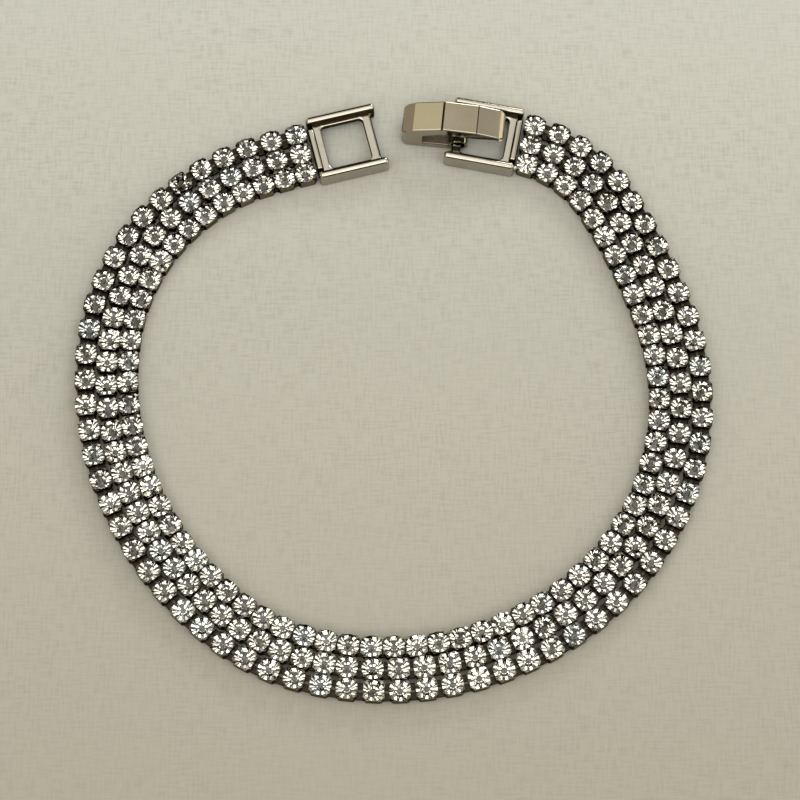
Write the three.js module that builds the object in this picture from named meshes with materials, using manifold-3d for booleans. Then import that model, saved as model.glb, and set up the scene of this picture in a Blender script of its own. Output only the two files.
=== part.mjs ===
// A three-strand rhinestone bracelet, unfastened and lying open on a flat surface.
// Each strand is a cup chain: square stamped cups, one round stone in each, on short links.
// The strand ends are held by two cast frames, and a fold-over lever hinges on one of them.
// Millimetres, +Z up. The underside is at z = 0 and the origin is the middle of the footprint.
import * as THREE from 'three';
import { mergeVertices } from 'three/addons/utils/BufferGeometryUtils.js';
import Module from 'manifold-3d';

const wasm = await Module();
wasm.setup();

// The band's centre line, a chain of tangent arcs that turns left all the way round.
const ROUTE_START = { x: -8.7, y: 27.8, heading: -166 };
const ROUTE = [
  { length: 6.0, turn: 4.0 },
  { length: 26.5, turn: 64.5 },
  { length: 37.5, turn: 61.5 },
  { length: 8.5, turn: 22.0 },
  { length: 29.5, turn: 51.0 },
  { length: 36.0, turn: 70.5 },
  { length: 15.3, turn: 13.5 },
  { length: 12.0, turn: 48.0 },
];

// The strands lie side by side and have worked along each other. A strand's slips say how far
// every eighth cup lies along the strand from where even spacing would put it.
const CUPS = 65;
const STRAND_SPACING = 2.32;
const END_SPACE = 1.55;
const STRANDS = [
  { name: 'strand_outer', offset: STRAND_SPACING, slips: [0, -0.3, 0, 0, -0.4, -1.0, -0.8, -0.3, 0] },
  { name: 'strand_middle', offset: 0, slips: [0, 0.7, 0.4, -1.4, -3.1, -2.7, -2.7, -1.0, 0] },
  { name: 'strand_inner', offset: -STRAND_SPACING, slips: [0, 0, 0.1, -0.2, -0.5, -1.1, -0.6, -0.4, 0] },
];

// A cup: a square box, a little narrower at its foot and blunt at its corners, under the crown
// of its stone.
const CUP_FOOT = 2.1;
const CUP_RIM = 2.28;
const CUP_DIAGONAL = 2.8;
const CUP_HEIGHT = 1.7;
const STONE_TABLE = 1.1;
const STONE_TOP = 2.2;
const LINK = { width: 1.8, height: 0.35, bottom: 0.4 };

// The cast frame at each end: +X points away from the strands, Y runs across the band.
// The strands meet the end plate. The plate runs a buried distance into the rails.
const RAIL = { start: -0.2, end: 7.7, width: 0.9, height: 2.4, round: 0.42 };
const FRAME_WIDTH = 7.5;
const PLATE = { start: 0.4, end: 7.0, bottom: 0.8, top: 1.5, round: 0.15 };
const WINDOW = { start: 1.25, end: 6.0, width: 5.0, corner: 0.5 };
const BAR_FILLET = 0.5;
const END_PLATE = { start: -0.2, end: 0.45, width: 6.0, bottom: 0.3, top: 1.9 };
const NOTCH = { start: -0.3, end: 0.8, inner: 2.45, bottom: 0.7 };
const BURIED = 0.3;

// The lever: two leaves joined at the nose, hinged by a knuckle on the frame's outer crossbar.
// The pocket between the leaves takes the other frame's outer crossbar when the clasp is shut.
// The lever sits on its bar with play, a little askew and to one side.
const HINGE = { x: (WINDOW.end + PLATE.end) / 2, z: (PLATE.bottom + PLATE.top) / 2 };
const LEVER = { width: 3.45, skew: 5.2, sideways: -0.1, corner: 0.5, edge: 0.12, leaf: 1.5 };
const KNUCKLE = { outer: 1.08, bore: 0.78 };
const NOSE = { front: 6.3, foot: 0.5, footRise: 0.6, top: 3.1, shoulder: { x: 6.05, z: 3.62 }, ease: 0.1 };
const POCKET = { end: 3.95, floor: 1.0, rise: 0.2 };

// The upper leaf's top line, from the nose to the tip: flat facets that meet at creases.
const LEAF_TOP = [
  { x: 5.05, z: 4.05 },
  { x: 1.85, z: 5.05 },
  { x: -1.95, z: 4.8 },
  { x: -3.8, z: 4.25 },
];
const TIP = { x: -4.95, top: 3.4, bottom: 3.0, thickness: 0.45, leaf: 0.8, ease: 0.25 };

const SILVER = { color: 0xb9b6a9, roughness: 0.18, metalness: 1.0 };
const STONES = { color: 0xd9d8d0, roughness: 0.12, metalness: 0.6 };

const radians = THREE.MathUtils.degToRad;

function solidOf(geometry) {
  const bare = new THREE.BufferGeometry();
  bare.setAttribute('position', geometry.getAttribute('position').clone());
  if (geometry.index) bare.setIndex(geometry.index.clone());
  const merged = mergeVertices(bare, 1e-5);
  return new wasm.Manifold(new wasm.Mesh({
    numProp: 3,
    vertProperties: new Float32Array(merged.getAttribute('position').array),
    triVerts: new Uint32Array(merged.index.array),
  }));
}

function meshOf(name, solid, look) {
  const { vertProperties, triVerts } = solid.getMesh();
  const geometry = new THREE.BufferGeometry();
  geometry.setAttribute('position', new THREE.BufferAttribute(new Float32Array(vertProperties), 3));
  geometry.setIndex(new THREE.BufferAttribute(new Uint32Array(triVerts), 1));
  geometry.computeVertexNormals();
  const mesh = new THREE.Mesh(geometry, new THREE.MeshStandardMaterial(look));
  mesh.name = name;
  return mesh;
}

function box(x0, x1, y0, y1, z0, z1) {
  const geometry = new THREE.BoxGeometry(x1 - x0, y1 - y0, z1 - z0);
  geometry.translate((x0 + x1) / 2, (y0 + y1) / 2, (z0 + z1) / 2);
  return solidOf(geometry);
}

// A rectangle with round corners, drawn anticlockwise.
function roundedRectangle(path, x0, x1, y0, y1, r) {
  path.moveTo(x0 + r, y0);
  path.lineTo(x1 - r, y0);
  path.absarc(x1 - r, y0 + r, r, -Math.PI / 2, 0, false);
  path.absarc(x1 - r, y1 - r, r, 0, Math.PI / 2, false);
  path.absarc(x0 + r, y1 - r, r, Math.PI / 2, Math.PI, false);
  path.absarc(x0 + r, y0 + r, r, Math.PI, Math.PI * 1.5, false);
  return path;
}

// A flat outline made into a slab from z0 to z1, its edges rounded over within its size.
function slab(shape, z0, z1, round, roundSteps, curveSegments) {
  const geometry = new THREE.ExtrudeGeometry(shape, {
    depth: z1 - z0 - 2 * round,
    bevelEnabled: true,
    bevelThickness: round,
    bevelSize: round,
    bevelOffset: -round,
    bevelSegments: roundSteps,
    curveSegments,
  });
  geometry.translate(0, 0, z0 + round);
  return solidOf(geometry);
}

// The start of each arc for a line that runs beside the centre line, offset to its right.
function arcsBeside(offset) {
  let { x, y } = ROUTE_START;
  let heading = radians(ROUTE_START.heading);
  let distance = 0;
  const arcs = [];
  for (const { length, turn } of ROUTE) {
    const angle = radians(turn);
    const radius = length / angle;
    const centre = { x: x - radius * Math.sin(heading), y: y + radius * Math.cos(heading) };
    arcs.push({ centre, radius: radius + offset, heading, distance });
    heading += angle;
    x = centre.x + radius * Math.sin(heading);
    y = centre.y - radius * Math.cos(heading);
    distance += (radius + offset) * angle;
  }
  return { arcs, length: distance, end: { x, y, heading } };
}

function pointAlong(line, distance) {
  const arc = line.arcs.findLast((each) => each.distance <= distance);
  const heading = arc.heading + (distance - arc.distance) / arc.radius;
  return {
    x: arc.centre.x + arc.radius * Math.sin(heading),
    y: arc.centre.y - arc.radius * Math.cos(heading),
    heading,
  };
}

function cupPlaces({ offset, slips }) {
  const line = arcsBeside(offset);
  const pitch = (line.length - 2 * END_SPACE) / (CUPS - 1);
  const cupsPerSlip = (CUPS - 1) / (slips.length - 1);
  const places = [];
  for (let cup = 0; cup < CUPS; cup++) {
    const row = Math.min(Math.floor(cup / cupsPerSlip), slips.length - 2);
    const slip = THREE.MathUtils.lerp(slips[row], slips[row + 1], cup / cupsPerSlip - row);
    places.push(pointAlong(line, END_SPACE + cup * pitch + slip));
  }
  return places;
}

function cupAt({ x, y, heading }) {
  const halfDiagonal = Math.SQRT1_2;
  const square = new THREE.LatheGeometry([
    new THREE.Vector2(0, 0),
    new THREE.Vector2(CUP_FOOT * halfDiagonal, 0),
    new THREE.Vector2(CUP_RIM * halfDiagonal, CUP_HEIGHT),
    new THREE.Vector2(STONE_TABLE * halfDiagonal, STONE_TOP),
    new THREE.Vector2(0, STONE_TOP),
  ], 4).rotateX(Math.PI / 2);
  const blunt = new THREE.BoxGeometry(CUP_DIAGONAL, CUP_DIAGONAL, 3 * STONE_TOP);
  const [cup, corners] = [square, blunt].map((geometry) => (
    solidOf(geometry.rotateZ(heading + Math.PI / 4).translate(x, y, 0))
  ));
  return cup.intersect(corners);
}

function linkBetween(a, b) {
  const length = Math.hypot(b.x - a.x, b.y - a.y);
  const geometry = new THREE.BoxGeometry(length, LINK.width, LINK.height);
  geometry.rotateZ(Math.atan2(b.y - a.y, b.x - a.x));
  geometry.translate((a.x + b.x) / 2, (a.y + b.y) / 2, LINK.bottom + LINK.height / 2);
  return solidOf(geometry);
}

function strand(spec) {
  const places = cupPlaces(spec);
  const pieces = places.map(cupAt);
  for (let cup = 1; cup < CUPS; cup++) pieces.push(linkBetween(places[cup - 1], places[cup]));
  return meshOf(spec.name, wasm.Manifold.union(pieces), STONES);
}

// A side rail, round at both ends and along its top and bottom edges.
function rail(side) {
  const middle = side * (FRAME_WIDTH - RAIL.width) / 2;
  const half = RAIL.width / 2;
  const outline = new THREE.Shape();
  outline.absarc(RAIL.end - half, middle, half, -Math.PI / 2, Math.PI / 2, false);
  outline.absarc(RAIL.start + half, middle, half, Math.PI / 2, Math.PI * 1.5, false);
  return slab(outline, 0, RAIL.height, RAIL.round, 2, 4);
}

// The flat plate between the rails, with its window; its outer edge runs into the rails in fillets.
function plate() {
  const inside = FRAME_WIDTH / 2 - RAIL.width;
  const reach = inside + BURIED;
  const outline = new THREE.Shape();
  outline.moveTo(PLATE.start, -reach);
  outline.lineTo(PLATE.end + BAR_FILLET, -reach);
  outline.lineTo(PLATE.end + BAR_FILLET, -inside);
  outline.absarc(PLATE.end + BAR_FILLET, -inside + BAR_FILLET, BAR_FILLET, -Math.PI / 2, -Math.PI, true);
  outline.absarc(PLATE.end + BAR_FILLET, inside - BAR_FILLET, BAR_FILLET, Math.PI, Math.PI / 2, true);
  outline.lineTo(PLATE.end + BAR_FILLET, reach);
  outline.lineTo(PLATE.start, reach);
  outline.closePath();
  const half = WINDOW.width / 2;
  outline.holes.push(roundedRectangle(new THREE.Path(), WINDOW.start, WINDOW.end, -half, half, WINDOW.corner));
  return slab(outline, PLATE.bottom, PLATE.top, PLATE.round, 1, 3);
}

function frameSolid() {
  const endPlate = box(END_PLATE.start, END_PLATE.end, -END_PLATE.width / 2, END_PLATE.width / 2,
    END_PLATE.bottom, END_PLATE.top);
  const inside = FRAME_WIDTH / 2 - RAIL.width;
  const notch = box(NOTCH.start, NOTCH.end, NOTCH.inner, inside, NOTCH.bottom, RAIL.height);
  return plate()
    .add(endPlate)
    .subtract(notch)
    .subtract(notch.mirror([0, 1, 0]))
    .add(rail(1))
    .add(rail(-1));
}

// The lever seen from its side, x along it from the hinge and z above the surface.
function leverProfile() {
  const [crown, crease, fall, bend] = LEAF_TOP;
  const foot = HINGE.z - KNUCKLE.outer;
  const profile = new THREE.Shape();
  profile.moveTo(0, foot);
  profile.lineTo(NOSE.front - NOSE.foot, foot);
  profile.quadraticCurveTo(NOSE.front, foot, NOSE.front, foot + NOSE.footRise);
  profile.lineTo(NOSE.front, NOSE.top);
  profile.quadraticCurveTo(NOSE.front, NOSE.shoulder.z - NOSE.ease, NOSE.shoulder.x, NOSE.shoulder.z);
  profile.lineTo(crown.x, crown.z);
  profile.lineTo(crease.x, crease.z);
  profile.lineTo(fall.x, fall.z);
  profile.lineTo(bend.x, bend.z);
  profile.quadraticCurveTo(TIP.x, bend.z - TIP.ease, TIP.x, TIP.top);
  profile.lineTo(TIP.x, TIP.bottom);
  profile.lineTo(TIP.x + TIP.thickness, TIP.bottom);
  profile.quadraticCurveTo(TIP.x + TIP.thickness, bend.z - TIP.leaf, bend.x, bend.z - TIP.leaf);
  profile.lineTo(fall.x, fall.z - LEVER.leaf);
  profile.lineTo(crease.x, crease.z - LEVER.leaf);
  profile.lineTo(POCKET.end, crown.z - LEVER.leaf + POCKET.rise);
  profile.lineTo(POCKET.end, POCKET.floor);
  const meet = Math.asin((HINGE.z - POCKET.floor) / KNUCKLE.outer);
  profile.lineTo(KNUCKLE.outer * Math.cos(meet), POCKET.floor);
  profile.absarc(0, HINGE.z, KNUCKLE.outer, -meet, Math.PI * 1.5, false);
  const bore = new THREE.Path();
  bore.absarc(0, HINGE.z, KNUCKLE.bore, 0, Math.PI * 2, true);
  profile.holes.push(bore);
  return profile;
}

function lever() {
  const half = LEVER.width / 2;
  const side = solidOf(new THREE.ExtrudeGeometry(leverProfile(), {
    depth: LEVER.width - 2 * LEVER.edge,
    bevelEnabled: true,
    bevelThickness: LEVER.edge,
    bevelSize: LEVER.edge,
    bevelOffset: -LEVER.edge,
    bevelSegments: 1,
    curveSegments: 4,
  }).rotateX(Math.PI / 2).translate(0, half - LEVER.edge, 0));
  const outline = roundedRectangle(new THREE.Shape(), TIP.x, NOSE.front, -half, half, LEVER.corner);
  const plan = new THREE.ExtrudeGeometry(outline, { depth: 7, bevelEnabled: false, curveSegments: 3 });
  plan.translate(0, 0, -1);
  return meshOf('clasp_lever', side.intersect(solidOf(plan)), SILVER);
}

function catchEnd() {
  const group = new THREE.Group();
  group.position.set(ROUTE_START.x, ROUTE_START.y, 0);
  group.rotation.z = radians(ROUTE_START.heading + 180);
  group.add(meshOf('catch_frame', frameSolid(), SILVER));
  return group;
}

function hingeEnd() {
  const { end } = arcsBeside(0);
  const group = new THREE.Group();
  group.position.set(end.x, end.y, 0);
  group.rotation.z = end.heading;
  group.add(meshOf('hinge_frame', frameSolid(), SILVER));
  const onBar = new THREE.Group();
  onBar.position.set(HINGE.x, LEVER.sideways, 0);
  onBar.rotation.z = radians(LEVER.skew);
  onBar.add(lever());
  group.add(onBar);
  return group;
}

const bracelet = new THREE.Group();
bracelet.add(...STRANDS.map(strand));
bracelet.add(catchEnd());
bracelet.add(hingeEnd());

export default bracelet;
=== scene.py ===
# A three-strand rhinestone bracelet, unfastened and lying open on pale cloth.
import math
import random

import bmesh
import bpy
from mathutils import Matrix, Vector


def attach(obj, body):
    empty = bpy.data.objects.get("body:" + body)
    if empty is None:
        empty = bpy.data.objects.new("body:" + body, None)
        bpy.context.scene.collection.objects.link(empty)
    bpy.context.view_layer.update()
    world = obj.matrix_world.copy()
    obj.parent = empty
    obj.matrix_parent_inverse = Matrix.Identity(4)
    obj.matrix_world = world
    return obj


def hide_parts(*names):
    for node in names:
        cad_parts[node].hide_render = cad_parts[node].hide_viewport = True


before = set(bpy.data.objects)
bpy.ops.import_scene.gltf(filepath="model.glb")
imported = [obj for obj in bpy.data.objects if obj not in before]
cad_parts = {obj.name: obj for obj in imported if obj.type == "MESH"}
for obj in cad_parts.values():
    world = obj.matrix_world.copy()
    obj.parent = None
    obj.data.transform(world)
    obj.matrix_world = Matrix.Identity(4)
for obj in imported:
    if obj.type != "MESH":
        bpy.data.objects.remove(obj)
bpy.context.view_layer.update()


# ---- Cups and links -------------------------------------------------------------------------
# Each strand is a row of square cups stamped from thin brass and plated silver. Four claws, one
# at each corner, are bent in over the stone, and short flat links join a cup to the next.
# The strands lie side by side along a line of tangent arcs that turns left all the way round.

MM = 0.001
ROUTE_START = {"x": -8.7 * MM, "y": 27.8 * MM, "heading": math.radians(-166)}
ROUTE = [
    {"length": 6.0, "turn": 4.0},
    {"length": 26.5, "turn": 64.5},
    {"length": 37.5, "turn": 61.5},
    {"length": 8.5, "turn": 22.0},
    {"length": 29.5, "turn": 51.0},
    {"length": 36.0, "turn": 70.5},
    {"length": 15.3, "turn": 13.5},
    {"length": 12.0, "turn": 48.0},
]
CUPS = 65
END_SPACE = 1.55 * MM
STRAND_SPACING = 2.32 * MM
STRANDS = [
    {"name": "outer", "side": 1, "open_side": -1, "slips": [0, -0.3, 0, 0, -0.4, -1.0, -0.8, -0.3, 0]},
    {"name": "middle", "side": 0, "open_side": 0, "slips": [0, 0.7, 0.4, -1.4, -3.1, -2.7, -2.7, -1.0, 0]},
    {"name": "inner", "side": -1, "open_side": 1, "slips": [0, 0, 0.1, -0.2, -0.5, -1.1, -0.6, -0.4, 0]},
]

CUP_FOOT = 2.1 * MM
CUP_RIM = 2.22 * MM
CUP_CORNER = 0.3 * MM
WALL_TOP = 1.45 * MM
WALL = 0.09 * MM
CUP_FLOOR = 0.3 * MM
CLAW_BEND = {"up": 0.27 * MM, "inward": 0.96, "narrower": 0.85}
CLAW_TIP = {"up": 0.13 * MM, "inward": 0.82, "narrower": 0.65}
CUP_LEAN = math.radians(2.4)
CUP_ROCK = math.radians(1.4)
# The flange is wider than a real link and near-black: a sheet of painted shade in the gaps between cups.
LINK = {"width": 1.8 * MM, "height": 0.35 * MM, "bottom": 0.4 * MM, "round": 0.1 * MM}
STRAP = {"width": 0.34 * MM, "height": 0.2 * MM, "bottom": 0.72 * MM, "round": 0.1 * MM}

CUP_SILVER = (0.40, 0.38, 0.33)
# Painted shade: the cups' colour low down, where the narrow gaps between the cups are shaded.
CUP_LOW_SHADE = (0.03, 0.025, 0.018)
# Painted shade: the flange's two colours; the lighter one is also the strap's dull colour.
FLANGE_SHADE_AND_DULL_STRAP = (0.04, 0.034, 0.025)
FLANGE_SHADE_DARK = (0.015, 0.012, 0.009)
STRAP_SILVER = (0.09, 0.08, 0.06)
# Painted light: the brighter finish on the cups' walls that face out of the band.
OPEN_WALL_LIT = (0.46, 0.43, 0.36)
OPEN_WALL_LIT_DULL = (0.26, 0.24, 0.19)
SHADED_EDGE = (0.3, 0.26, 0.2)
CUP_METAL, LINK_METAL, STRAP_METAL, OPEN_WALL = range(4)
FACES_OUT = 0.9
LOW_SHADE_FADE = (1.2 * MM, 1.8 * MM)
CUP_SPOTS = 1400.0
LINK_PATCHES = 900.0


def line_beside(offset):
    """The arcs of a line beside the band's centre line, offset to its right, and its end."""
    x, y, heading = ROUTE_START["x"], ROUTE_START["y"], ROUTE_START["heading"]
    arcs, distance = [], 0
    for part in ROUTE:
        turn = math.radians(part["turn"])
        radius = part["length"] * MM / turn
        centre = (x - radius * math.sin(heading), y + radius * math.cos(heading))
        arcs.append({"centre": centre, "radius": radius + offset, "heading": heading, "from": distance})
        distance += (radius + offset) * turn
        heading += turn
        x = centre[0] + radius * math.sin(heading)
        y = centre[1] - radius * math.cos(heading)
    return {"arcs": arcs, "length": distance, "end": (x, y, heading)}


def point_along(line, distance):
    arc = [each for each in line["arcs"] if each["from"] <= distance][-1]
    heading = arc["heading"] + (distance - arc["from"]) / arc["radius"]
    x = arc["centre"][0] + arc["radius"] * math.sin(heading)
    y = arc["centre"][1] - arc["radius"] * math.cos(heading)
    return x, y, heading


def cup_places(strand):
    """Where each cup of a strand stands: x, y and its heading."""
    line = line_beside(strand["side"] * STRAND_SPACING)
    pitch = (line["length"] - 2 * END_SPACE) / (CUPS - 1)
    slips = strand["slips"]
    cups_per_slip = (CUPS - 1) / (len(slips) - 1)
    places = []
    for cup in range(CUPS):
        row = min(int(cup / cups_per_slip), len(slips) - 2)
        share = cup / cups_per_slip - row
        slip = (slips[row] * (1 - share) + slips[row + 1] * share) * MM
        places.append(point_along(line, END_SPACE + cup * pitch + slip))
    return places


def mesh_of(shape, name):
    """Turns a finished bmesh into a mesh."""
    mesh = bpy.data.meshes.new(name)
    shape.to_mesh(mesh)
    shape.free()
    return mesh


def show(mesh, *finishes):
    piece = bpy.data.objects.new(mesh.name, mesh)
    bpy.context.scene.collection.objects.link(piece)
    for finish in finishes:
        mesh.materials.append(finish)
    return piece


def add_copy(shape, pattern, place, shade=0.0):
    """Joins a copy of a mesh to a shape, at a place, and marks its faces with a shade."""
    tone = shape.faces.layers.float.get("tone") or shape.faces.layers.float.new("tone")
    verts, faces = len(shape.verts), len(shape.faces)
    shape.from_mesh(pattern)
    shape.verts.ensure_lookup_table()
    shape.faces.ensure_lookup_table()
    bmesh.ops.transform(shape, matrix=place, verts=shape.verts[verts:])
    for face in shape.faces[faces:]:
        face[tone] = shade


def scale_about(shape, verts, factors, centre):
    bmesh.ops.scale(shape, vec=factors, space=Matrix.Translation(-Vector(centre)), verts=verts)


def stamped_cup(open_side):
    """A cup whose wall on the band's open side takes a brighter finish than the rest: painted light, on the
    side that faces out of the band.
    """
    cup = bmesh.new()
    bmesh.ops.create_grid(cup, x_segments=1, y_segments=1, size=CUP_FOOT / 2)
    bmesh.ops.bevel(
        cup, geom=cup.verts[:], offset=CUP_CORNER, segments=1, profile=0.5, affect="VERTICES",
        material=-1,
    )
    walls = bmesh.ops.extrude_face_region(cup, geom=cup.faces[:])
    top = [v for v in walls["geom"] if isinstance(v, bmesh.types.BMVert)]
    bmesh.ops.translate(cup, verts=top, vec=(0, 0, WALL_TOP))
    scale_about(cup, top, (CUP_RIM / CUP_FOOT, CUP_RIM / CUP_FOOT, 1), (0, 0, 0))
    lid = max(cup.faces, key=lambda face: face.calc_center_median().z)
    rim = bmesh.ops.inset_region(cup, faces=[lid], thickness=WALL, use_even_offset=True)["faces"]
    well = bmesh.ops.extrude_face_region(cup, geom=[lid])
    bmesh.ops.delete(cup, geom=[lid], context="FACES_ONLY")
    floor = [v for v in well["geom"] if isinstance(v, bmesh.types.BMVert)]
    bmesh.ops.translate(cup, verts=floor, vec=(0, 0, CUP_FLOOR - WALL_TOP))
    corners = sorted(rim, key=lambda face: face.calc_area())[:4]
    for bend in (CLAW_BEND, CLAW_TIP):
        corners = bmesh.ops.extrude_discrete_faces(cup, faces=corners)["faces"]
        for face in corners:
            middle = face.calc_center_median()
            scale_about(cup, face.verts[:], (bend["narrower"],) * 3, middle)
            inward = bend["inward"] - 1
            shift = Vector((middle.x * inward, middle.y * inward, bend["up"]))
            bmesh.ops.translate(cup, verts=face.verts[:], vec=shift)
    bmesh.ops.recalc_face_normals(cup, faces=cup.faces[:])
    # The walls facing the open side get the brighter finish, which is painted light.
    for face in cup.faces:
        if face.normal.y * open_side > FACES_OUT:
            face.material_index = OPEN_WALL
    return mesh_of(cup, "stamped_cup")


def flat_link():
    """A link one metre long, which its place shortens: a wide flange, painted near-black as the shade in the
    gaps between cups, with a bright strap on it.
    """
    link = bmesh.new()
    for bar, finish in ((STRAP, STRAP_METAL), (LINK, LINK_METAL)):
        verts = bmesh.ops.create_cube(link, size=1)["verts"]
        scale_about(link, verts, (1, bar["width"], bar["height"]), (0, 0, 0))
        bmesh.ops.translate(link, verts=verts, vec=(0, 0, bar["bottom"] + bar["height"] / 2))
        for face in {face for vert in verts for face in vert.link_faces}:
            face.material_index = finish
        crests = [
            edge for edge in {edge for vert in verts for edge in vert.link_edges}
            if edge.verts[0].co.z > bar["bottom"] + bar["height"] / 2 and edge.calc_length() > 0.5
        ]
        bmesh.ops.bevel(
            link, geom=crests, offset=bar["round"], segments=2, profile=0.5, affect="EDGES", material=-1
        )
    return mesh_of(link, "flat_link")


def link_place(a, b):
    """From one cup's middle to the next one's."""
    middle = Vector(((a[0] + b[0]) / 2, (a[1] + b[1]) / 2, 0))
    turn = Matrix.Rotation(math.atan2(b[1] - a[1], b[0] - a[0]), 4, "Z")
    length = math.hypot(b[0] - a[0], b[1] - a[1])
    return Matrix.Translation(middle) @ turn @ Matrix.Diagonal((length, 1, 1, 1))


class Wire:
    """A shader socket. Sums and products of wires and numbers become Math nodes."""

    def __init__(self, socket):
        self.socket = socket

    def node(self, kind, settings=None, sockets=None, output=0):
        """Adds a node to this wire's tree: its settings first, then what its sockets take."""
        made = self.socket.id_data.nodes.new(kind)
        for name, value in (settings or {}).items():
            if name == "stops":
                set_stops(made.color_ramp, value)
            else:
                setattr(made, name, value)
        for name, value in (sockets or {}).items():
            feed(made.inputs[name], value)
        return Wire(made.outputs[output])

    def math(self, operation, *values):
        return self.node("ShaderNodeMath", {"operation": operation}, dict(enumerate(values)))

    def __add__(self, other):
        return self.math("ADD", self, other)

    def __sub__(self, other):
        return self.math("SUBTRACT", self, other)

    def __rsub__(self, other):
        return self.math("SUBTRACT", other, self)

    def __mul__(self, other):
        return self.math("MULTIPLY", self, other)

    __radd__ = __add__
    __rmul__ = __mul__


def set_stops(ramp, stops):
    while len(ramp.elements) > 1:
        ramp.elements.remove(ramp.elements[-1])
    for place, colour in stops:
        stop = ramp.elements[0] if place == stops[0][0] else ramp.elements.new(place)
        stop.position = place
        stop.color = (*colour, 1)


def feed(socket, value):
    if isinstance(value, Wire):
        socket.id_data.links.new(value.socket, socket)
    elif isinstance(value, tuple) and len(value) == 3 and socket.type == "RGBA":
        socket.default_value = (*value, 1)
    else:
        socket.default_value = value


def new_finish(name, **settings):
    """A material with a Principled shader, whose even settings are given by name."""
    finish = bpy.data.materials.new(name)
    finish.use_nodes = True
    shader = finish.node_tree.nodes["Principled BSDF"]
    for setting, value in settings.items():
        feed(shader.inputs[setting.replace("_", " ")], value)
    coords = Wire(finish.node_tree.nodes.new("ShaderNodeTexCoord").outputs["Object"])
    return finish, shader.inputs, coords


def blend_colours(share, first, second):
    sockets = {0: share, 6: first, 7: second}
    return share.node("ShaderNodeMix", {"data_type": "RGBA"}, sockets, output=2)


def cup_plating():
    """Bright plating, painted dark low down as the shade between the cups, and uneven from cup to cup."""
    finish, shader, coords = new_finish("cup_plating", Metallic=1.0, Specular_Tint=SHADED_EDGE)
    height = coords.node("ShaderNodeSeparateXYZ", None, {0: coords}, output=2)
    # Painted shade: below this height the colour darkens, as the shade between the cups does.
    rise = coords.node(
        "ShaderNodeMapRange", {"clamp": True},
        {0: height, 1: LOW_SHADE_FADE[0], 2: LOW_SHADE_FADE[1], 3: 0.0, 4: 1.0},
    )
    tone = coords.node("ShaderNodeAttribute", {"attribute_name": "tone"}, None, output=2)
    spots = coords.node("ShaderNodeTexNoise", None, {"Vector": coords, "Scale": CUP_SPOTS, "Detail": 3.0})
    lit_and_clean = rise * (0.15 + 0.85 * tone * tone) * (0.7 + 0.6 * spots)
    feed(shader["Base Color"], blend_colours(lit_and_clean, CUP_LOW_SHADE, CUP_SILVER))
    feed(shader["Roughness"], 0.12 + 0.25 * spots)
    return finish


def link_plating(name, dull, bright, roughness):
    """A plating dull in patches. Its colours make the links' flanges painted shade, the straps plain plating
    and the cups' open walls painted light.
    """
    finish, shader, coords = new_finish(name, Metallic=1.0, Specular_Tint=SHADED_EDGE)
    patches = coords.node(
        "ShaderNodeTexNoise", None, {"Vector": coords, "Scale": LINK_PATCHES, "Detail": 3.0}
    )
    feed(shader["Base Color"], blend_colours(patches, dull, bright))
    feed(shader["Roughness"], roughness + 0.2 * patches)
    return finish


link_pattern = flat_link()
platings = (
    cup_plating(),
    # The flange's finish is painted shade.
    link_plating("link_plating", FLANGE_SHADE_DARK, FLANGE_SHADE_AND_DULL_STRAP, 0.3),
    link_plating("strap_plating", FLANGE_SHADE_AND_DULL_STRAP, STRAP_SILVER, 0.2),
    link_plating("open_wall_painted_light", OPEN_WALL_LIT_DULL, OPEN_WALL_LIT, 0.12),
)
uneven = random.Random(7)
for strand in STRANDS:
    places = cup_places(strand)
    cup_pattern = stamped_cup(strand["open_side"])
    row = bmesh.new()
    strand["settings"] = []
    for x, y, heading in places:
        lean, rock = uneven.uniform(0, CUP_LEAN), uneven.uniform(-CUP_ROCK, CUP_ROCK)
        tilt = Matrix.Rotation(-lean, 4, "X") @ Matrix.Rotation(rock, 4, "Y")
        lift = CUP_FOOT / 2 * (math.sin(lean) + math.sin(abs(rock)))
        setting = Matrix.Translation((x, y, lift)) @ Matrix.Rotation(heading, 4, "Z") @ tilt
        strand["settings"].append(setting)
        add_copy(row, cup_pattern, setting, uneven.random())
    for a, b in zip(places, places[1:]):
        add_copy(row, link_pattern, link_place(a, b), 1.0)
    cups = show(mesh_of(row, "cups_" + strand["name"]), *platings)
    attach(cups, "band")
    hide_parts("strand_" + strand["name"])


# ---- Stones ---------------------------------------------------------------------------------
# Round clear glass chatons with mirror foil on their backs. Each is cut as a real one is, a
# plane at a time, from a round blank: a table, eight main facets and eight star facets above
# the girdle, and eight mirror facets parted by eight narrow ones below it, whose dark foil is
# a painted dark reflection.

GIRDLE = {"radius": 1.14 * MM, "thick": 0.06 * MM, "sides": 24, "height": 1.64 * MM}
CROWN = {"height": 0.38 * MM, "main": math.radians(33), "star": math.radians(20)}
STAR_REACH = 0.055 * MM
PAVILION = {"depth": 1.0 * MM, "main_share": 0.74}
FACETS = 8
STONE_TILT = math.radians(3.2)
GLASS, MIRROR, DARK = range(3)
TINTED_FROM = 0.8
FOIL_RIPPLE = 2600.0

CLEAR = (1.0, 1.0, 0.99)
TINTED = (0.80, 0.92, 1.0)
FOIL = (0.95, 0.94, 0.90)
# Painted dark reflection: the colour of the narrow pavilion facets.
PAINTED_DARK_REFLECTION = (0.02, 0.017, 0.012)


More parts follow.
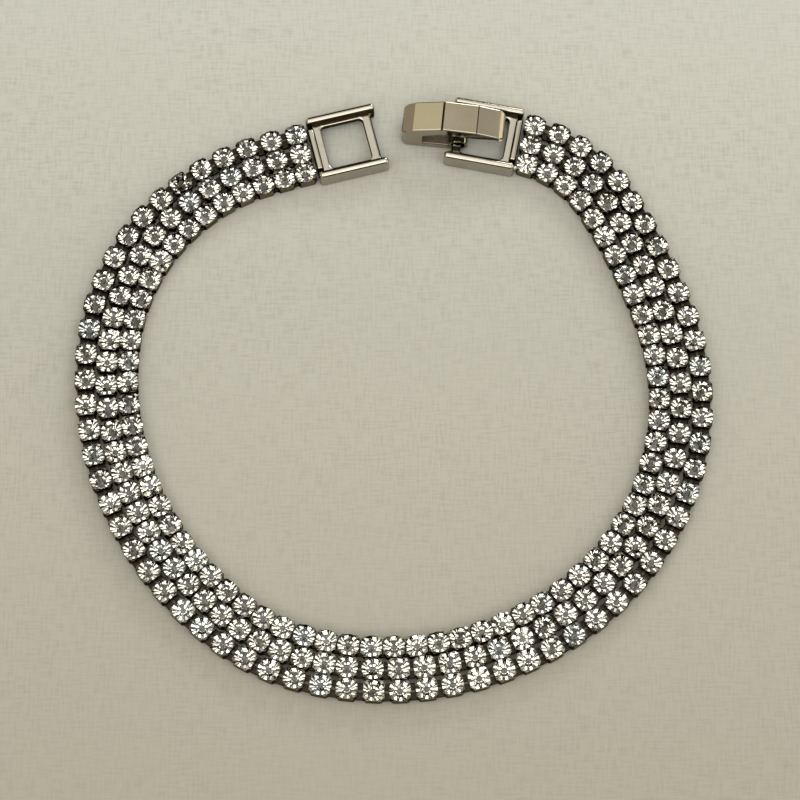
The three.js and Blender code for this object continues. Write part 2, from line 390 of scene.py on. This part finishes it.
def cut_facet(stone, azimuth, slope, point, finish):
    """Cuts away what lies outside a plane and closes the cut with one facet."""
    flat = math.sin(slope)
    outward = (flat * math.cos(azimuth), flat * math.sin(azimuth), math.cos(slope))
    everything = stone.verts[:] + stone.edges[:] + stone.faces[:]
    cut = bmesh.ops.bisect_plane(
        stone, geom=everything, dist=1e-8, plane_co=point, plane_no=outward, clear_outer=True
    )
    edges = [part for part in cut["geom_cut"] if isinstance(part, bmesh.types.BMEdge)]
    for face in bmesh.ops.edgeloop_fill(stone, edges=edges, mat_nr=finish)["faces"]:
        face.material_index = finish


def chaton():
    """One stone, its girdle's top edge at height 0."""
    stone = bmesh.new()
    depth = PAVILION["depth"] + GIRDLE["thick"]
    bmesh.ops.create_cone(
        stone, cap_ends=True, segments=GIRDLE["sides"], radius1=GIRDLE["radius"],
        radius2=GIRDLE["radius"], depth=CROWN["height"] + depth,
    )
    bmesh.ops.translate(stone, verts=stone.verts[:], vec=(0, 0, (CROWN["height"] - depth) / 2))
    for face in stone.faces:
        face.material_index = GLASS if face.normal.z > 0.5 else MIRROR
    culet = (0, 0, -depth)
    main_slope = math.atan(PAVILION["depth"] / GIRDLE["radius"])
    step = 2 * math.pi / FACETS
    ridge = math.cos(step / 2) + math.tan(step / 2 * PAVILION["main_share"]) * math.sin(step / 2)
    dark_slope = math.atan(math.tan(main_slope) / ridge)
    table = GIRDLE["radius"] - CROWN["height"] / math.tan(CROWN["main"])
    for facet in range(FACETS):
        azimuth = facet * step
        edge = (GIRDLE["radius"] * math.cos(azimuth), GIRDLE["radius"] * math.sin(azimuth), 0)
        cut_facet(stone, azimuth, CROWN["main"], edge, GLASS)
        cut_facet(stone, azimuth, math.pi - main_slope, culet, MIRROR)
    for facet in range(FACETS):
        azimuth = (facet + 0.5) * step
        reach = table / math.cos(step / 2) - STAR_REACH
        edge = (reach * math.cos(azimuth), reach * math.sin(azimuth), CROWN["height"])
        cut_facet(stone, azimuth, CROWN["star"], edge, GLASS)
        # The narrow facets take the dark foil, which is a painted dark reflection between the mirror facets.
        cut_facet(stone, azimuth, math.pi - dark_slope, culet, DARK)
    bmesh.ops.remove_doubles(stone, verts=stone.verts[:], dist=1e-7)
    bmesh.ops.recalc_face_normals(stone, faces=stone.faces[:])
    return mesh_of(stone, "chaton")


def stone_glass():
    finish, shader, coords = new_finish("stone_glass", Roughness=0.0, IOR=1.56, Transmission_Weight=1.0)
    tone = coords.node("ShaderNodeAttribute", {"attribute_name": "tone"}, None, output=2)
    blue = coords.node(
        "ShaderNodeMapRange", {"clamp": True}, {0: tone, 1: TINTED_FROM, 2: 1.0, 3: 0.0, 4: 1.0}
    )
    feed(shader["Base Color"], blend_colours(blue, CLEAR, TINTED))
    return finish


def stone_foil(name, colour, roughness):
    """The foil on a stone's back, a little uneven; in its dark colour it is a painted dark reflection."""
    finish, shader, coords = new_finish(name, Metallic=1.0)
    ripple = coords.node("ShaderNodeTexNoise", None, {"Vector": coords, "Scale": FOIL_RIPPLE, "Detail": 2.0})
    worn = tuple(0.8 * part for part in colour)
    feed(shader["Base Color"], blend_colours(ripple, worn, colour))
    feed(shader["Roughness"], roughness + 0.04 * ripple)
    return finish


stone_pattern = chaton()
stone_finishes = (
    stone_glass(),
    stone_foil("mirror_foil", FOIL, 0.02),
    stone_foil("painted_dark_reflection", PAINTED_DARK_REFLECTION, 0.15),
)
for strand in STRANDS:
    row = bmesh.new()
    for setting in strand["settings"]:
        turn = Matrix.Rotation(uneven.uniform(0, 2 * math.pi / FACETS), 4, "Z")
        sideways = Matrix.Rotation(uneven.gauss(0, STONE_TILT), 4, "X")
        endways = Matrix.Rotation(uneven.gauss(0, STONE_TILT), 4, "Y")
        tilt = sideways @ endways
        seat = setting @ Matrix.Translation((0, 0, GIRDLE["height"])) @ tilt @ turn
        add_copy(row, stone_pattern, seat, uneven.random())
    stones = show(mesh_of(row, "stones_" + strand["name"]), *stone_finishes)
    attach(stones, "band")


# ---- Clasp frames ---------------------------------------------------------------------------
# Each end of the band is soldered to a cast frame, plated and polished: two round-topped side
# rails, a flat plate with a window and two crossbars between them, and an end plate.
# The hinge frame has a bead of solder at the strand end of one rail.

RAIL = {
    "start": -0.2, "end": 7.63, "width": 0.9, "height": 2.4, "crown": 0.40, "foot": 0.1, "corner": 0.42,
}
FRAME_WIDTH = 7.5
PLATE = {"start": 0.4, "end": 7.0, "bottom": 0.8, "top": 1.5, "edge": 0.14, "outer_edge": 0.28}
WINDOW = {"start": 1.25, "end": 6.0, "width": 5.0}
BAR_FILLET = 0.5
END_PLATE = {"start": -0.2, "end": 0.45, "width": 6.0, "bottom": 0.3, "top": 1.9, "edge": 0.2}
NOTCH_REACH = 2.45
BURIED = 0.3
SOLDER_BEAD = {"x": -0.32, "below_top": 0.6, "radius": 0.27}
SHARP = math.radians(60)
NEAR = 0.1
INNER_SIDE, FLAT_TOP = -0.7, 0.95

FRAME_SILVER = (0.47, 0.445, 0.38)
FRAME_DULL = (0.38, 0.355, 0.30)
# The recess colour: unpolished cast metal, painted dark as the shade in the frames' recesses and along their
# edges.
FRAME_RECESS_SHADE = (0.10, 0.085, 0.06)
DULL_PATCHES = 420.0
POLISHING_MARKS = (300.0, 6000.0, 3000.0)
CAST_GRAIN = 3000.0


def round_edges(shape, edges, radius, steps):
    bmesh.ops.bevel(
        shape, geom=edges, offset=radius * MM, segments=steps, profile=0.5, affect="EDGES", material=-1
    )


def is_upright(edge):
    return abs(edge.verts[0].co.z - edge.verts[1].co.z) > 0.05 * MM


def sharp_edges(shape, low, high):
    """The sharp level edges between two heights."""
    return [
        edge for edge in shape.edges
        if not is_upright(edge) and low * MM < edge.verts[0].co.z < high * MM
        and edge.is_manifold and edge.calc_face_angle() > SHARP
    ]


def plain_block(x0, x1, y0, y1, z0, z1):
    shape = bmesh.new()
    bmesh.ops.create_cube(shape, size=MM)
    scale_about(shape, shape.verts[:], (x1 - x0, y1 - y0, z1 - z0), (0, 0, 0))
    middle = Vector((x0 + x1, y0 + y1, z0 + z1)) / 2 * MM
    bmesh.ops.translate(shape, verts=shape.verts[:], vec=middle)
    return shape


def side_rail(side):
    middle = side * (FRAME_WIDTH - RAIL["width"]) / 2
    half = RAIL["width"] / 2
    shape = plain_block(RAIL["start"], RAIL["end"], middle - half, middle + half, 0, RAIL["height"])
    round_edges(shape, [edge for edge in shape.edges if is_upright(edge)], RAIL["corner"], 6)
    round_edges(shape, sharp_edges(shape, RAIL["height"] / 2, 9), RAIL["crown"], 5)
    round_edges(shape, sharp_edges(shape, -1, RAIL["height"] / 2), RAIL["foot"], 2)
    # The rail's inner wall takes the dark recess finish: painted shade on unpolished metal.
    give_recess_shade(shape, lambda face: side * face.normal.y > INNER_SIDE)
    return mesh_of(shape, "side_rail")


def window_plate():
    """A grid of cells, less the window and the gap past the outer crossbar, made a thick plate."""
    flank = FRAME_WIDTH / 2 - RAIL["width"]
    half = WINDOW["width"] / 2
    columns = [PLATE["start"], WINDOW["start"], WINDOW["end"], PLATE["end"], PLATE["end"] + BAR_FILLET]
    rows = [-flank - BURIED, -flank, -half, half, flank, flank + BURIED]
    shape = bmesh.new()
    bmesh.ops.create_grid(shape, x_segments=len(columns) - 1, y_segments=len(rows) - 1, size=1)
    for vert in shape.verts:
        column = round((vert.co.x + 1) / 2 * (len(columns) - 1))
        row = round((vert.co.y + 1) / 2 * (len(rows) - 1))
        vert.co = Vector((columns[column], rows[row], PLATE["bottom"])) * MM
    gone = []
    for face in shape.faces:
        x, y = face.calc_center_median().xy / MM
        in_window = WINDOW["start"] < x < WINDOW["end"] and abs(y) < half
        past_bar = x > PLATE["end"] and abs(y) < flank
        if in_window or past_bar:
            gone.append(face)
    bmesh.ops.delete(shape, geom=gone, context="FACES")
    seams = [
        edge for edge in shape.edges
        if all(vert.co.x > (WINDOW["end"] - NEAR) * MM and abs(abs(vert.co.y) - half * MM) < NEAR * MM
               for vert in edge.verts)
    ]
    bmesh.ops.dissolve_edges(shape, edges=seams, use_verts=True)
    raised = bmesh.ops.extrude_face_region(shape, geom=shape.faces[:])["geom"]
    top = [part for part in raised if isinstance(part, bmesh.types.BMVert)]
    bmesh.ops.translate(shape, verts=top, vec=(0, 0, (PLATE["top"] - PLATE["bottom"]) * MM))
    bmesh.ops.recalc_face_normals(shape, faces=shape.faces[:])
    corners = [
        edge for edge in shape.edges
        if is_upright(edge) and edge.calc_face_angle(0) > SHARP
        and PLATE["start"] * MM < edge.verts[0].co.x < (PLATE["end"] + NEAR) * MM
        and abs(edge.verts[0].co.y) < (flank + NEAR) * MM
    ]
    round_edges(shape, corners, BAR_FILLET * 0.98, 6)
    free = [
        edge for edge in sharp_edges(shape, -1, 9)
        if abs(edge.verts[0].co.y + edge.verts[1].co.y) < 2 * (flank + NEAR) * MM
    ]
    outer = [edge for edge in free if edge.verts[0].co.x > (PLATE["end"] - NEAR) * MM]
    window = [edge for edge in free if edge not in outer]
    round_edges(shape, window, PLATE["edge"], 3)
    outer = [edge for edge in outer if edge.is_valid]
    round_edges(shape, outer, PLATE["outer_edge"], 4)
    # Every face that isn't flat, the rounded edges too, takes the dark recess finish: painted shade and
    # painted dark outlines round the plate and its window.
    give_recess_shade(shape, lambda face: abs(face.normal.z) > FLAT_TOP)
    return mesh_of(shape, "window_plate")


def end_plate():
    half = END_PLATE["width"] / 2
    start, end, bottom = END_PLATE["start"], END_PLATE["end"], END_PLATE["bottom"]
    middle = plain_block(start, end, -NOTCH_REACH, NOTCH_REACH, bottom, END_PLATE["top"])
    round_edges(middle, middle.edges[:], END_PLATE["edge"], 3)
    low = plain_block(start, end, -half, half, bottom, PLATE["bottom"])
    round_edges(low, low.edges[:], END_PLATE["edge"], 2)
    add_copy(middle, mesh_of(low, "low"), Matrix.Identity(4))
    # All but the upward faces take the dark recess finish: painted shade on unpolished metal.
    give_recess_shade(middle, lambda face: face.normal.z > FACES_OUT)
    return mesh_of(middle, "end_plate")


def solder_bead():
    shape = bmesh.new()
    bmesh.ops.create_icosphere(shape, subdivisions=3, radius=SOLDER_BEAD["radius"] * MM)
    middle = (FRAME_WIDTH - RAIL["width"]) / 2
    place = Vector((SOLDER_BEAD["x"], middle, RAIL["height"] - SOLDER_BEAD["below_top"])) * MM
    bmesh.ops.translate(shape, verts=shape.verts[:], vec=place)
    return mesh_of(shape, "solder_bead")


def polished(name, dull, bright):
    """Bright plating with fine polishing marks and a little dullness in patches."""
    finish, shader, coords = new_finish(name, Metallic=1.0)
    patches = coords.node(
        "ShaderNodeTexNoise", None, {"Vector": coords, "Scale": DULL_PATCHES, "Detail": 3.0}
    )
    feed(shader["Base Color"], blend_colours(patches, dull, bright))
    stretch = coords.node("ShaderNodeMapping", None, {"Vector": coords, "Scale": POLISHING_MARKS})
    marks = coords.node("ShaderNodeTexNoise", None, {"Vector": stretch, "Scale": 1.0, "Detail": 2.0})
    feed(shader["Roughness"], 0.06 + 0.10 * marks + 0.06 * patches)
    bump = coords.node("ShaderNodeBump", None, {"Strength": 0.06, "Distance": 0.01 * MM, "Height": marks})
    feed(shader["Normal"], bump)
    return finish


def unpolished_and_shaded(name, colour, roughness):
    """The walls and hollows that polishing doesn't reach, grainy and dull, and painted dark as the shade
    that falls there.
    """
    finish, shader, coords = new_finish(name, Metallic=1.0, Specular_Tint=SHADED_EDGE)
    grain = coords.node("ShaderNodeTexNoise", None, {"Vector": coords, "Scale": CAST_GRAIN, "Detail": 3.0})
    dark = tuple(0.4 * part for part in colour)
    feed(shader["Base Color"], blend_colours(grain, dark, colour))
    feed(shader["Roughness"], roughness + 0.2 * grain)
    bump = coords.node("ShaderNodeBump", None, {"Strength": 0.4, "Distance": 0.03 * MM, "Height": grain})
    feed(shader["Normal"], bump)
    return finish


def give_recess_shade(shape, stays_bright):
    """Gives the dark recess finish, unpolished metal and painted shade, to each face that is not to stay
    bright.
    """
    for face in shape.faces:
        face.material_index = 0 if stays_bright(face) else 1


def smooth(piece, angle):
    """Smooth shading that keeps broad faces flat and edges over an angle sharp."""
    piece.data.shade_smooth()
    piece.data.set_sharp_from_angle(angle=math.radians(angle))
    even = piece.modifiers.new("even_normals", "WEIGHTED_NORMAL")
    even.keep_sharp = True


def show_frame(name, place, extras=()):
    casting = bmesh.new()
    for part in (side_rail(1), side_rail(-1), window_plate(), end_plate(), *extras):
        add_copy(casting, part, place)
    piece = show(mesh_of(casting, name + "_casting"), *frame_finishes)
    smooth(piece, 50)
    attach(piece, "band")
    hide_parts(name)


frame_finishes = (
    polished("frame_silver", FRAME_DULL, FRAME_SILVER),
    # The second finish is unpolished metal painted dark as shade in the recesses and along the edges.
    unpolished_and_shaded("frame_recess_shade", FRAME_RECESS_SHADE, 0.3),
)
start_x, start_y, start_heading = ROUTE_START["x"], ROUTE_START["y"], ROUTE_START["heading"]
end_x, end_y, end_heading = line_beside(0)["end"]
catch_place = Matrix.Translation((start_x, start_y, 0)) @ Matrix.Rotation(start_heading + math.pi, 4, "Z")
hinge_place = Matrix.Translation((end_x, end_y, 0)) @ Matrix.Rotation(end_heading, 4, "Z")
show_frame("catch_frame", catch_place)
show_frame("hinge_frame", hinge_place, [solder_bead()])


# ---- Lever ----------------------------------------------------------------------------------
# The fold-over lever: an upper leaf in flat facets, a solid nose and a lower leaf in one piece,
# with a knuckle that turns on the hinge frame's outer crossbar. Its outside is polished and the
# inside of its pocket is left as cast, with a dark colour that paints the shade between the
# leaves. It sits on the bar a little askew.

HINGE = {"x": 6.5, "z": 1.15}
LEVER = {
    "width": 3.45, "skew": math.radians(5.2), "sideways": -0.1, "corner": 0.51, "taper": 0.3, "edge": 0.13,
}
LEAF = 1.5
KNUCKLE = {"outer": 1.08, "bore": 0.78, "share": 0.96, "joined": math.radians(60)}
NOSE = {"front": 6.3, "foot": 0.5, "foot_rise": 0.6, "top": 2.9, "shoulder": (6.08, 3.30), "ease": 0.1}
POCKET = {"end": 3.95, "floor": 1.0, "rise": 0.2}
LEAF_TOP = {"crown": (5.05, 4.05), "crease": (1.85, 5.05), "fall": (-1.95, 4.8), "bend": (-3.8, 4.25)}
TIP = {"x": -4.95, "top": 3.4, "bottom": 3.0, "thickness": 0.45, "leaf": 0.8, "ease": 0.25}
NARROWED = math.radians(50)
GROOVE = {"half": 0.12, "deep": 0.3}
FINE_GROOVE = {"half": 0.06, "deep": 0.14}
CURVE_STEPS = 6
LEVER_SILVER = (0.41, 0.372, 0.295)
LEVER_DULL = (0.35, 0.315, 0.25)
# The pocket colour: cast metal, painted dark as the shade between the leaves.
POCKET_SHADE_ROUGH = (0.30, 0.24, 0.18)


def curve(start, control, end):
    """The points of a quadratic curve after its start."""
    points = []
    for step in range(1, CURVE_STEPS + 1):
        t = step / CURVE_STEPS
        points.append(tuple(
            (1 - t) ** 2 * a + 2 * t * (1 - t) * b + t ** 2 * c for a, b, c in zip(start, control, end)
        ))
    return points


def leaf_outline():
    """The lever's side outline, without its knuckle, as x and z."""
    crown, ridge, fall, bend = (LEAF_TOP[name] for name in ("crown", "crease", "fall", "bend"))
    foot = HINGE["z"] - KNUCKLE["outer"]
    front = NOSE["front"]
    outline = [(front - NOSE["foot"], foot)]
    outline += curve(outline[-1], (front, foot), (front, foot + NOSE["foot_rise"]))
    outline.append((front, NOSE["top"]))
    outline += curve(outline[-1], (front, NOSE["shoulder"][1] - NOSE["ease"]), NOSE["shoulder"])
    outline += [crown, ridge, fall, bend]
    outline += curve(bend, (TIP["x"], bend[1] - TIP["ease"]), (TIP["x"], TIP["top"]))
    outline.append((TIP["x"], TIP["bottom"]))
    inner = TIP["x"] + TIP["thickness"]
    outline.append((inner, TIP["bottom"]))
    outline += curve(outline[-1], (inner, bend[1] - TIP["leaf"]), (bend[0], bend[1] - TIP["leaf"]))
    outline.append((fall[0], fall[1] - LEAF))
    outline.append((ridge[0], ridge[1] - LEAF))
    outline.append((POCKET["end"], crown[1] - LEAF + POCKET["rise"]))
    outline.append((POCKET["end"], POCKET["floor"]))
    wall = (KNUCKLE["outer"] + KNUCKLE["bore"]) / 2
    first = math.asin((HINGE["z"] - POCKET["floor"]) / wall)
    last = KNUCKLE["joined"]
    for step in range(CURVE_STEPS + 1):
        angle = first + (last - first) * step / CURVE_STEPS
        outline.append((wall * math.cos(angle), HINGE["z"] - wall * math.sin(angle)))
    outline.append((wall * math.cos(last), foot))
    return outline


def press_groove(shape, corner, groove):
    """Presses a narrow groove across the top of the leaf, where two facets meet."""
    for aside in (-groove["half"], 0, groove["half"]):
        everything = shape.verts[:] + shape.edges[:] + shape.faces[:]
        point = ((corner[0] + aside) * MM, 0, 0)
        bmesh.ops.bisect_plane(shape, geom=everything, dist=1e-8, plane_co=point, plane_no=(1, 0, 0))
    bottom = [
        vert for vert in shape.verts
        if abs(vert.co.x - corner[0] * MM) < 1e-7 and vert.co.z > (corner[1] - 1.5 * LEVER["edge"]) * MM
    ]
    bmesh.ops.translate(shape, verts=bottom, vec=(0, 0, -groove["deep"] * MM))


def is_in_pocket(face):
    """Whether a face is one of those that look into the gap between the two leaves."""
    middle = face.calc_center_median() / MM
    level = abs(face.normal.y) < 0.5 and middle.x < POCKET["end"] + NEAR
    roof = face.normal.z < -0.5 and middle.z > LEAF
    back = face.normal.x < -FACES_OUT and middle.x > 0
    floor = face.normal.z > 0.5 and middle.z < POCKET["floor"] + NEAR
    return level and (roof or back or floor)


def narrow_end(shape, end, tip):
    """Narrows one end of the leaves in plan, so that its corners aren't square."""
    start = tip - end * LEVER["corner"]
    everything = shape.verts[:] + shape.edges[:] + shape.faces[:]
    bmesh.ops.bisect_plane(
        shape, geom=everything, dist=1e-8, plane_co=(start * MM, 0, 0), plane_no=(1, 0, 0)
    )
    for vert in shape.verts:
        past = max(0, end * (vert.co.x / MM - start)) / LEVER["corner"]
        vert.co.y *= 1 - past * LEVER["taper"] / (LEVER["width"] / 2)


def leaves():
    half = LEVER["width"] / 2
    shape = bmesh.new()
    verts = [shape.verts.new((x * MM, -half * MM, z * MM)) for x, z in leaf_outline()]
    shape.faces.new(verts)
    swept = bmesh.ops.extrude_face_region(shape, geom=shape.faces[:])["geom"]
    far = [part for part in swept if isinstance(part, bmesh.types.BMVert)]
    bmesh.ops.translate(shape, verts=far, vec=(0, LEVER["width"] * MM, 0))
    bmesh.ops.recalc_face_normals(shape, faces=shape.faces[:])
    narrow_end(shape, 1, NOSE["front"])
    narrow_end(shape, -1, TIP["x"])
    shape.normal_update()
    rims = [
        edge for edge in shape.edges
        if all(abs(vert.co.y) > (half - LEVER["taper"] - 0.01) * MM for vert in edge.verts)
        and edge.verts[0].co.y * edge.verts[1].co.y > 0 and edge.calc_face_angle() > NARROWED
    ]
    round_edges(shape, rims, LEVER["edge"], 3)
    press_groove(shape, LEAF_TOP["crease"], GROOVE)
    press_groove(shape, LEAF_TOP["fall"], FINE_GROOVE)
    # The pocket's faces take the dark cast finish: unpolished, with painted shade between the leaves.
    give_recess_shade(shape, lambda face: not is_in_pocket(face))
    return mesh_of(shape, "leaves")


def knuckle():
    half = LEVER["width"] / 2
    shape = bmesh.new()
    for radius in (KNUCKLE["bore"], KNUCKLE["outer"]):
        bmesh.ops.create_circle(shape, segments=32, radius=radius * MM)
    bmesh.ops.bridge_loops(shape, edges=shape.edges[:])
    swept = bmesh.ops.extrude_face_region(shape, geom=shape.faces[:])["geom"]
    far = [part for part in swept if isinstance(part, bmesh.types.BMVert)]
    bmesh.ops.translate(shape, verts=far, vec=(0, 0, LEVER["width"] * KNUCKLE["share"] * MM))
    bmesh.ops.translate(shape, verts=shape.verts[:], vec=(0, 0, -KNUCKLE["share"] * half * MM))
    upright = Matrix.Translation((0, 0, HINGE["z"] * MM)) @ Matrix.Rotation(math.pi / 2, 4, "X")
    bmesh.ops.transform(shape, matrix=upright, verts=shape.verts[:])
    bmesh.ops.recalc_face_normals(shape, faces=shape.faces[:])
    return mesh_of(shape, "knuckle")


lever_place = hinge_place @ Matrix.Translation((HINGE["x"] * MM, LEVER["sideways"] * MM, 0))
lever_place = lever_place @ Matrix.Rotation(LEVER["skew"], 4, "Z")
lever_shape = bmesh.new()
add_copy(lever_shape, leaves(), lever_place)
add_copy(lever_shape, knuckle(), lever_place)
lever_finishes = (
    polished("lever_silver", LEVER_DULL, LEVER_SILVER),
    unpolished_and_shaded("cast_pocket_shade", POCKET_SHADE_ROUGH, 0.35),
)
lever = show(mesh_of(lever_shape, "lever"), *lever_finishes)
smooth(lever, 15)
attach(lever, "lever")
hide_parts("clasp_lever")


# ---- Cloth ----------------------------------------------------------------------------------
# The pale, finely woven cloth that the bracelet lies on. It isn't part of the bracelet.

CLOTH_SIZE = 1.6
# Painted light: the cloth's colour at the back and at the front, for the light's falloff.
CLOTH_LIT_BACK = (0.392, 0.398, 0.372)
CLOTH_SHADED_FRONT = (0.290, 0.278, 0.238)
CLOTH_GAP = (0.13, 0.122, 0.096)
CLOTH_REACH = 0.045
THREAD = 0.25 * MM
ALONG_THREAD = 0.12


def cloth_weave():
    """Fine plain weave of uneven threads, darker towards the front: a painted falloff of the light."""
    finish, shader, coords = new_finish("cloth_weave", Roughness=0.95)
    threads = 0.0
    for stretch in ((1 / THREAD, ALONG_THREAD / THREAD, 1.0), (ALONG_THREAD / THREAD, 1 / THREAD, 1.0)):
        run = coords.node("ShaderNodeMapping", None, {"Vector": coords, "Scale": stretch})
        thread = run.node("ShaderNodeTexNoise", None, {"Vector": run, "Scale": 1.0, "Detail": 1.0})
        threads = threads + thread
    patch = coords.node("ShaderNodeTexNoise", None, {"Vector": coords, "Scale": 60.0, "Detail": 3.0})
    # Painted light: the colour darkens from back to front as the light falls off.
    along = coords.node("ShaderNodeSeparateXYZ", None, {0: coords}, output=1)
    back = along.node(
        "ShaderNodeMapRange", {"clamp": True},
        {0: along, 1: -CLOTH_REACH, 2: CLOTH_REACH, 3: 0.0, 4: 1.0},
    )
    gaps = 0.05 + (1.0 - threads) * (0.05 + 0.7 * patch)
    cloth = blend_colours(back, CLOTH_SHADED_FRONT, CLOTH_LIT_BACK)
    feed(shader["Base Color"], blend_colours(gaps, cloth, CLOTH_GAP))
    bump = coords.node("ShaderNodeBump", None, {"Strength": 0.2, "Distance": 0.02 * MM, "Height": threads})
    feed(shader["Normal"], bump)
    return finish


cloth_shape = bmesh.new()
bmesh.ops.create_grid(cloth_shape, x_segments=1, y_segments=1, size=CLOTH_SIZE / 2)
cloth = show(mesh_of(cloth_shape, "cloth"), cloth_weave())


# ---- Camera and light -----------------------------------------------------------------------
# The camera looks steeply down from the front. Six soft lamps stand in a ring round it, which
# cut glass sends back, and one small lamp stands behind. The sky is bright overhead and dark low
# down, for the polished metal, and it has a dark spot where the camera stands.

TARGET = Vector((-0.03, -1.57, 0.0)) * MM
ELEVATION = math.radians(72)
DISTANCE = 0.3
LENS = 125.58
FILM_WIDTH = 36
SHIFT = (7 / 800, 8 / 800)
NEAREST_SEEN = 0.01

SKY_ACROSS = [
    (0.05, (0.40, 0.34, 0.26)),
    (0.16, (0.50, 0.45, 0.36)),
    (0.235, (0.88, 0.82, 0.62)),
    (0.44, (0.90, 0.87, 0.78)),
    (0.53, (0.95, 0.95, 0.91)),
    (0.58, (0.56, 0.51, 0.39)),
    (0.72, (0.45, 0.42, 0.38)),
    (0.86, (0.70, 0.66, 0.58)),
    (0.95, (1.4, 1.3, 1.0)),
]
SKY_DARK = (0.012, 0.010, 0.007)
HORIZON = (0.74, 0.79)
BESIDE = (0.40, 0.44)
SKY_STRENGTH = 1.35
CAMERA_SHADE = math.radians(6.5)

LAMP_COLOUR = (1.0, 0.98, 0.93)
RING = {"aside": math.radians(24), "distance": 0.6, "size": (0.30, 0.30)}
RING_LAMPS = [(-30, 1.9), (30, 1.7), (90, 1.0), (150, 1.7), (210, 1.9), (270, 1.3)]
BACK_LAMP = {"place": (0.12, 0.29, 0.18), "size": (0.13, 0.13), "brightness": 9.0}

camera = bpy.data.objects.new("camera", bpy.data.cameras.new("camera"))
bpy.context.scene.collection.objects.link(camera)
camera.data.sensor_width = FILM_WIDTH
camera.data.lens = LENS
camera.data.shift_x, camera.data.shift_y = SHIFT
camera.data.clip_start = NEAREST_SEEN
camera.location = TARGET + DISTANCE * Vector((0, -math.cos(ELEVATION), math.sin(ELEVATION)))
camera.rotation_euler = (TARGET - camera.location).to_track_quat("-Z", "Y").to_euler()
bpy.context.scene.camera = camera


def soft_lamp(name, location, size, brightness):
    """A lamp that shines on the bracelet with a given brightness, whatever its size."""
    data = bpy.data.lights.new(name, "AREA")
    data.shape = "RECTANGLE"
    data.size, data.size_y = size
    data.energy = brightness * math.pi * size[0] * size[1]
    data.color = LAMP_COLOUR
    lamp = bpy.data.objects.new(name, data)
    bpy.context.scene.collection.objects.link(lamp)
    lamp.location = location
    lamp.rotation_euler = (TARGET - location).to_track_quat("-Z", "Y").to_euler()


towards_camera = (camera.location - TARGET).normalized()
for azimuth, brightness in RING_LAMPS:
    aside = Matrix.Rotation(math.radians(azimuth), 4, towards_camera) @ Vector((1, 0, 0))
    towards_lamp = towards_camera * math.cos(RING["aside"]) + aside * math.sin(RING["aside"])
    soft_lamp("ring_lamp", towards_lamp * RING["distance"], RING["size"], brightness)
soft_lamp("back_lamp", Vector(BACK_LAMP["place"]), BACK_LAMP["size"], BACK_LAMP["brightness"])

sky = bpy.data.worlds.new("sky")
sky.use_nodes = True
bpy.context.scene.world = sky
direction = Wire(sky.node_tree.nodes.new("ShaderNodeTexCoord").outputs["Generated"])
upward = direction.node("ShaderNodeSeparateXYZ", None, {0: direction}, output=2)
across = direction.node("ShaderNodeSeparateXYZ", None, {0: direction}, output=0)
glow = direction.node("ShaderNodeValToRGB", {"stops": SKY_ACROSS}, {0: across * 0.5 + 0.5})
above = direction.node(
    "ShaderNodeMapRange", {"clamp": True}, {0: upward, 1: HORIZON[0], 2: HORIZON[1], 3: 0.0, 4: 1.0}
)
wide = direction.math("ABSOLUTE", across)
beside = direction.node(
    "ShaderNodeMapRange", {"clamp": True}, {0: wide, 1: BESIDE[0], 2: BESIDE[1], 3: 0.0, 4: 1.0}
)
nearness = direction.node(
    "ShaderNodeVectorMath", {"operation": "DOT_PRODUCT"}, {0: direction, 1: tuple(towards_camera)}, output=1
)
shaded = direction.math("GREATER_THAN", nearness, math.cos(CAMERA_SHADE))
lit = direction.math("MAXIMUM", above, beside) * (1 - shaded)
background = sky.node_tree.nodes["Background"].inputs
feed(background["Color"], blend_colours(lit, SKY_DARK, glow))
feed(background["Strength"], SKY_STRENGTH)
bpy.context.scene.view_settings.view_transform = "Standard"
